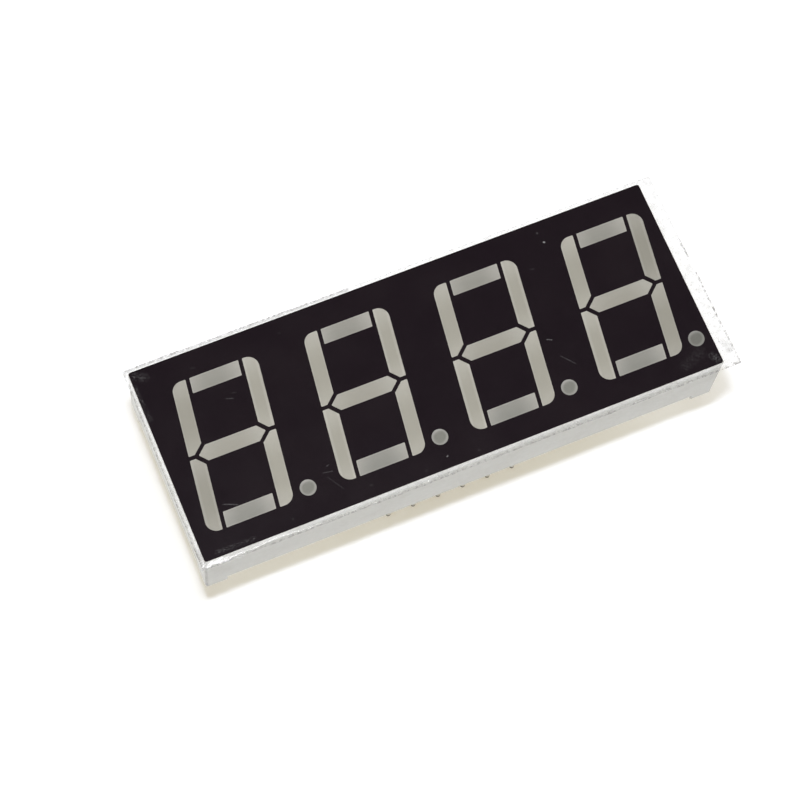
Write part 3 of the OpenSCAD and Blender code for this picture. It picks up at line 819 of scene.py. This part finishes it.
CRUSHED = (
    (-25.7, 9.8, -4.0, 9.8, 0.5, 0.70),
    (-4.0, 9.8, 26.5, 9.8, 0.5, 0.25),
    (-25.7, 9.8, -25.9, -10.0, 0.5, 0.55),
    (-25.9, -10.1, 8.0, -10.1, 0.5, 0.38),
    (8.0, -10.1, 24.5, -10.1, 0.5, 0.55),
    (26.6, 9.6, 26.6, 3.2, 0.5, 0.22),
    (26.6, 3.1, 26.6, 1.4, 0.5, 0.90),
    (26.7, -0.8, 26.7, -5.2, 0.5, 1.50),
    (26.7, -5.4, 26.7, -8.4, 0.5, 0.80),
    (26.7, -9.3, 26.7, -10.1, 0.5, 0.95),
    (26.7, -10.1, 25.4, -10.1, 0.5, 1.05),
)
LINE_BREAKS = 0.12, (0.3, 0.6)
SMUDGE_GRAIN = 0.14, (0.50, 0.64, 0.0, 2.2)
FINE_LINES = 0.5, (0.74, 0.80, 0.0, 0.06)
FINE_STRETCH = (9, 0.35, 1)
DUST = 0.09, (0.725, 0.79, 0.0, 0.4)
DUSTY = 2.2, (0.45, 0.70)


def film_marks(kit):
    """How marked the film is, 0 to 1: scratches, smudges and dust."""
    breaks = kit.pattern(*LINE_BREAKS, detail=2)
    grain = kit.pattern(*SMUDGE_GRAIN, detail=2, rough=0.6)
    scratched = kit.math("MULTIPLY", lines_on(kit, SCRATCHES), breaks)
    smudged = kit.math("MULTIPLY", lines_on(kit, SMUDGES), grain)
    fine = kit.pattern(*FINE_LINES, detail=5, stretch=FINE_STRETCH, rough=0.75)
    dust = kit.math("MULTIPLY", kit.pattern(*DUST, detail=2, rough=0.8), kit.pattern(*DUSTY))
    marks = scratched
    for more in (smudged, fine, lines_on(kit, DUST_SPOTS), dust):
        marks = kit.math("ADD", marks, more)
    return marks


print(len(SCRATCHES), "scratches,", len(DUST_SPOTS), "dust spots,", len(SMUDGES), "smudges")

# %% Highlights painted on the film
# These set where the film is painted white as highlights: glints along the crease and a pale line
# around the face.
CREASE_GLINTS = 0.20, (0.50, 0.60, 0.12, 0.80)
GLINT_STRETCH = (5.0, 1, 1)
CREASE_DEPTH = (0.05, 0.45)
CREASE_FADE = (1.5, 5.0, 1.0, 0.0)
RIM_LIGHT = 1.5, (0.3, 0.7, 0.10, 0.24)
RIM_FADE = (0.10, 0.40, 1.0, 0.0)
LEFT_GAIN, LEFT_EDGE = 1.6, (-0.05, 0.15)
left_end, front_wall = body_low.x / MM, body_low.y / MM


def crease_glints(kit):
    """Painted glints, 0 to 1, along the crease at the front left corner, fading away from it."""
    flat = kit.vector("MULTIPLY", kit.place, IN_PLANE)
    away = kit.vector("DISTANCE", flat, (left_end, front_wall, 0))
    near, far = (front_wall + depth for depth in CREASE_DEPTH)
    in_front = kit.spread(kit.split(kit.place)["Y"], near, far, 1.0, 0.0)
    glint_spots = kit.pattern(*CREASE_GLINTS, stretch=GLINT_STRETCH, rough=0.65)
    glint_fade = kit.math("MULTIPLY", glint_spots, kit.spread(away, *CREASE_FADE))
    return kit.math("MULTIPLY", glint_fade, in_front)


def rim_light(kit, past):
    """Painted highlight, 0 to 1, where the film bends off the edge of the face."""
    outer, inner = (left_end + way for way in LEFT_EDGE)
    at_left = kit.spread(kit.split(kit.place)["X"], outer, inner, LEFT_GAIN, 1.0)
    uneven = kit.math("MULTIPLY", kit.pattern(*RIM_LIGHT), at_left)
    return kit.math("MULTIPLY", uneven, kit.spread(past, *RIM_FADE))


print("crease at", [round(left_end, 2), round(front_wall, 2)], "mm")

# %% Clear film
FREE_FILM = (-0.05, 0.02)
HANDLED = (8.0, -8.0, 0.3, 1.0)
SPECKS = 0.18, (0.62, 0.70, 0.0, 0.45)
HAZE_CLOUDS = 0.3, (0.3, 0.6, 0.5, 1.2)
FAINT_HAZE = 0.8, (0.42, 0.72, 0.0, 0.10)
FILM_CLEAR, FILM_IOR, FILM_ROUGH = grey(0.985), 1.30, 0.12
MARK_ON_BODY, MARK_PAST_BODY, MARK_ROUGH = grey(0.62), grey(0.30, 0.02), 0.55
GLINT_TONE, GLINT_ROUGH = grey(0.97), 0.5

clear = new_finish("clear_film")
past = clear.math("MAXIMUM", *past_walls(clear))
free = clear.spread(past, *FREE_FILM)
handled = clear.spread(clear.split(clear.place)["Y"], *HANDLED)
specks = clear.math("MULTIPLY", clear.pattern(*SPECKS, rough=0.7), handled)
hazed = clear.math("MULTIPLY", lines_on(clear, HAZE), clear.pattern(*HAZE_CLOUDS))
haze = clear.math("ADD", clear.pattern(*FAINT_HAZE, detail=4), hazed)
loose = clear.math("MULTIPLY", clear.math("ADD", specks, haze), free)
marked = clear.math("ADD", film_marks(clear), loose, clamp=True)
mirror = clear.add("ShaderNodeFresnel", {"IOR": FILM_IOR}).outputs[0]
outside = clear.math("SUBTRACT", 1.0, clear.add("ShaderNodeNewGeometry").outputs["Backfacing"])
glossy = clear.add("ShaderNodeBsdfGlossy", {"Color": WHITE, "Roughness": FILM_ROUGH}).outputs[0]
pane = clear.mix(clear.math("MULTIPLY", mirror, outside), clear.clear(FILM_CLEAR), glossy)
dull = clear.principled(clear.blend(free, MARK_ON_BODY, MARK_PAST_BODY), MARK_ROUGH)
pane = clear.mix(marked, pane, dull)
# Painted highlight: the crease glints and the pale line around the face are a white dull finish
# mixed into the film.
painted_highlight = clear.math("MAXIMUM", crease_glints(clear), rim_light(clear, past))
painted_highlight = clear.math("MULTIPLY", painted_highlight, free)
cut_film.data.materials.append(
    clear.done(clear.mix(painted_highlight, pane, clear.principled(GLINT_TONE, GLINT_ROUGH))))
print("film painted,", len(HAZE), "hazy stretches")

# %% Cut edge
CUT_DASHES = 0.35, (0.44, 0.58, 0.12, 1.0)
CUT_GRIME = 0.4, (0.35, 0.60)
CUT_DARK, CUT_LIGHT, CUT_ROUGH = grey(0.16, 0.05), grey(0.40, 0.03), 0.5
CUT_CLEAR = grey(0.97)

cut = new_finish("cut_edge")
runs = cut.math("MULTIPLY", lines_on(cut, CRUSHED), cut.pattern(*CUT_DASHES, rough=0.7))
crushed = cut.principled(cut.blend(cut.pattern(*CUT_GRIME), CUT_DARK, CUT_LIGHT), CUT_ROUGH)
cut_film.data.materials.append(cut.done(cut.mix(runs, cut.clear(CUT_CLEAR), crushed)))
print("edge painted,", len(CRUSHED), "crushed stretches")

# %% [markdown]
# ## The board, the chips and the wires
#
# All of this is cast in, but the resin at the back is thin enough to see the board through.
# The board is green laminate, and its woven glass shows as a fine square pattern: two noises,
# each stretched along one thread, are multiplied. Its copper is gilded, so it has a metal
# finish with slight stains. The pins are tinned before they are cut to length, so their cut
# ends are bare. Each pin is painted darker over its last fraction of a millimetre above the
# floor: painted shade where it meets the floor, together with its bare cut end.

# %% Board
GREEN_DARK, GREEN_LIGHT = (0.020, 0.110, 0.035, 1), (0.035, 0.165, 0.055, 1)
THREAD_SIZE = 0.25
WARP, WEFT = (0.5, 6, 1), (6, 0.5, 1)
THREAD_LIMITS = (0.15, 0.40)
WEAVE_DEPTH = 0.01
BOARD_ROUGH, BOARD_IOR = 0.4, 1.5

weave = new_finish("green_laminate")
threads = weave.math("MULTIPLY", weave.noise(THREAD_SIZE, detail=1, stretch=WARP),
                     weave.noise(THREAD_SIZE, detail=1, stretch=WEFT))
green = weave.blend(weave.spread(threads, *THREAD_LIMITS), GREEN_DARK, GREEN_LIGHT)
laminate = weave.principled(green, BOARD_ROUGH, weave.relief(threads, WEAVE_DEPTH), ior=BOARD_IOR)
paint("circuit_board", weave.done(laminate))
print("board painted")

# %% Metals and crystal
STAIN_LIMITS, POLISH_LIMITS = (0.35, 0.70), (0.3, 0.7)
POLISH_SHARE, GROOVE_SHARE = 0.4, 0.25
ROUGH_LEAST, ROUGH_MOST = 0.8, 1.3
# Heights above the floor, in mm, over which a pin's tip is painted darker: painted shade.
TIP_SHADE_HEIGHTS = (0.8, 0.3)


def metal_finish(name, bright, stained, rough, grain, stretch=(1, 1, 1), depth=0.003,
                 metallic=1.0, dark_tip=None):
    """Metal whose colour and roughness vary together, with an optional tip tone painted near the
    floor.
    """
    metal = new_finish(name)
    stain = metal.pattern(grain, STAIN_LIMITS, detail=4, stretch=stretch)
    limits = (*POLISH_LIMITS, rough * ROUGH_LEAST, rough * ROUGH_MOST)
    polish = metal.pattern(grain * POLISH_SHARE, limits, stretch=stretch)
    grooves = metal.relief(metal.noise(grain * GROOVE_SHARE, stretch=stretch), depth)
    tone = metal.blend(stain, bright, stained)
    if dark_tip:
        # Painted shade: the pin is darker over its last fraction of a millimetre above the floor.
        upper, lower = (floor_z / MM + height for height in TIP_SHADE_HEIGHTS)
        tip_shade = metal.spread(metal.split(metal.place)["Z"], upper, lower)
        tone = metal.blend(tip_shade, tone, dark_tip)
    return metal.done(metal.principled(tone, polish, grooves, metallic=metallic))


gilt = metal_finish("gilded_copper", (0.87, 0.64, 0.30, 1), (0.70, 0.46, 0.22, 1), 0.3, 0.8)
gold = metal_finish("gold_wire", (0.95, 0.73, 0.30, 1), (0.90, 0.66, 0.26, 1), 0.2, 0.1,
                    depth=0.001)
tinned = metal_finish("tinned_pin", grey(0.74, 0.01), grey(0.62, 0.02), 0.24, 0.6,
                      stretch=(1, 1, 6), dark_tip=grey(0.10, 0.06))
bright_solder = metal_finish("bright_solder", grey(0.72), grey(0.58), 0.18, 0.4, depth=0.01)
crystal = metal_finish("chip_crystal", grey(0.16, 0.1), grey(0.10, 0.1), 0.25, 0.06,
                       metallic=0.4)
for side in ("die", "solder"):
    paint(f"{side}_side_copper", gilt)
for d in DIGITS:
    paint(f"digit_{d}_led_chips", crystal)
for k in PINS:
    paint(f"pin_{k}", tinned)
paint("bond_wires", gold)
paint("solder_joints", bright_solder)
print("metals painted,", len(PINS), "pins")

# %% [markdown]
# ## The cast resin at the back
#
# The back is filled with thin, milky resin. While liquid it wetted the walls and the pins and
# crept up them, so it set hollow, with a small fillet all round. A flat plate would look like
# a lid. The surface is a grid that is finest near the walls and the pins, and each point is
# pulled towards the rim by its distance from the nearest wall or pin.

# %% Height of the set resin
CAST_GAP = 0.01 * MM
CREEP, CREEP_REACH = 0.28 * MM, 0.30 * MM
PIN_CREEP, PIN_REACH, PIN_REACHES = 0.22 * MM, 0.16 * MM, 8
CAST_SAG = 0.05 * MM
CAST_RIPPLE, CAST_RIPPLE_SIZE = 0.02 * MM, 3 * MM
cast_half = (cast_high - cast_low) / 2 - Vector(IN_PLANE) * CAST_GAP
pin_radius = (pin_high.x - pin_low.x) / 2
pin_spots = [centre_of(f"pin_{k}") for k in PINS]


def cast_surface(x, y):
    """How far the resin's free surface stands towards the rim at that place."""
    to_wall = min(cast_half.x - abs(x), cast_half.y - abs(y))
    height = CREEP * math.exp(-to_wall / CREEP_REACH)
    for spot in pin_spots:
        gap = max(math.hypot(x - spot.x, y - spot.y) - pin_radius, 0)
        if gap < PIN_REACHES * PIN_REACH:
            height = max(height, PIN_CREEP * math.exp(-gap / PIN_REACH))
    sag = CAST_SAG * (1 - (x / cast_half.x) ** 2) * (1 - (y / cast_half.y) ** 2)
    return height - sag + CAST_RIPPLE * wander(x, y, 4, CAST_RIPPLE_SIZE)


print("resin stands", round(cast_surface(cast_half.x, 0) / MM, 2), "mm up the end wall")

# %% Cast resin mesh
COARSE_STEP, FINE_STEP, FINE_REACH = 0.7 * MM, 0.06 * MM, 1.6 * MM


def fine_lines(half, spots):
    """Grid lines from -half to half, close together near the walls and near the spots."""
    lines, at = [-half], -half
    while at < half:
        near = min([half - abs(at)] + [abs(at - s) for s in spots])
        at += FINE_STEP + (COARSE_STEP - FINE_STEP) * min(near / FINE_REACH, 1)
        lines.append(min(at, half))
    return lines


grid_x = fine_lines(cast_half.x, {spot.x for spot in pin_spots})
grid_y = fine_lines(cast_half.y, {spot.y for spot in pin_spots})
print("resin grid:", len(grid_x), "by", len(grid_y))
cast_resin = closed_sheet(
    "cast_resin",
    [[(x, y, cast_low.z - cast_surface(x, y)) for x in grid_x] for y in grid_y],
    [[(x, y, cast_high.z - CAST_GAP) for x in grid_x] for y in grid_y],
    flat_top=True)
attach(cast_resin, "root")
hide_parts("back_potting")

# %% Milky resin
MILK, MILK_DEEP = (0.66, 0.68, 0.60, 1), (0.58, 0.61, 0.53, 1)
MILK_CLOUDS = 4.0, (0.35, 0.68)
MILK_SHARE = (0, 1, 0.62, 0.78)
BUBBLES, BUBBLE_TONE = (0.3, (0.72, 0.78, 0.0, 0.5)), grey(0.85)
MILK_GLOSS = 1.0, (0.3, 0.7, 0.16, 0.30)
MILK_RELIEF_SIZE, MILK_RELIEF_DEPTH = 1.2, 0.02
MILK_CLEAR = (0.80, 0.86, 0.76, 1)
MILK_IOR = 1.5

milky = new_finish("milky_resin")
cloud = milky.pattern(*MILK_CLOUDS, detail=4)
milk = milky.blend(cloud, MILK, MILK_DEEP)
milk = milky.blend(milky.pattern(*BUBBLES, detail=1), milk, BUBBLE_TONE)
swell = milky.relief(milky.noise(MILK_RELIEF_SIZE), MILK_RELIEF_DEPTH)
body = milky.principled(milk, milky.pattern(*MILK_GLOSS), swell, ior=MILK_IOR)
share = milky.spread(cloud, *MILK_SHARE)
cast_resin.data.materials.append(milky.done(milky.mix(share, milky.clear(MILK_CLEAR), body)))
print("cast resin painted")
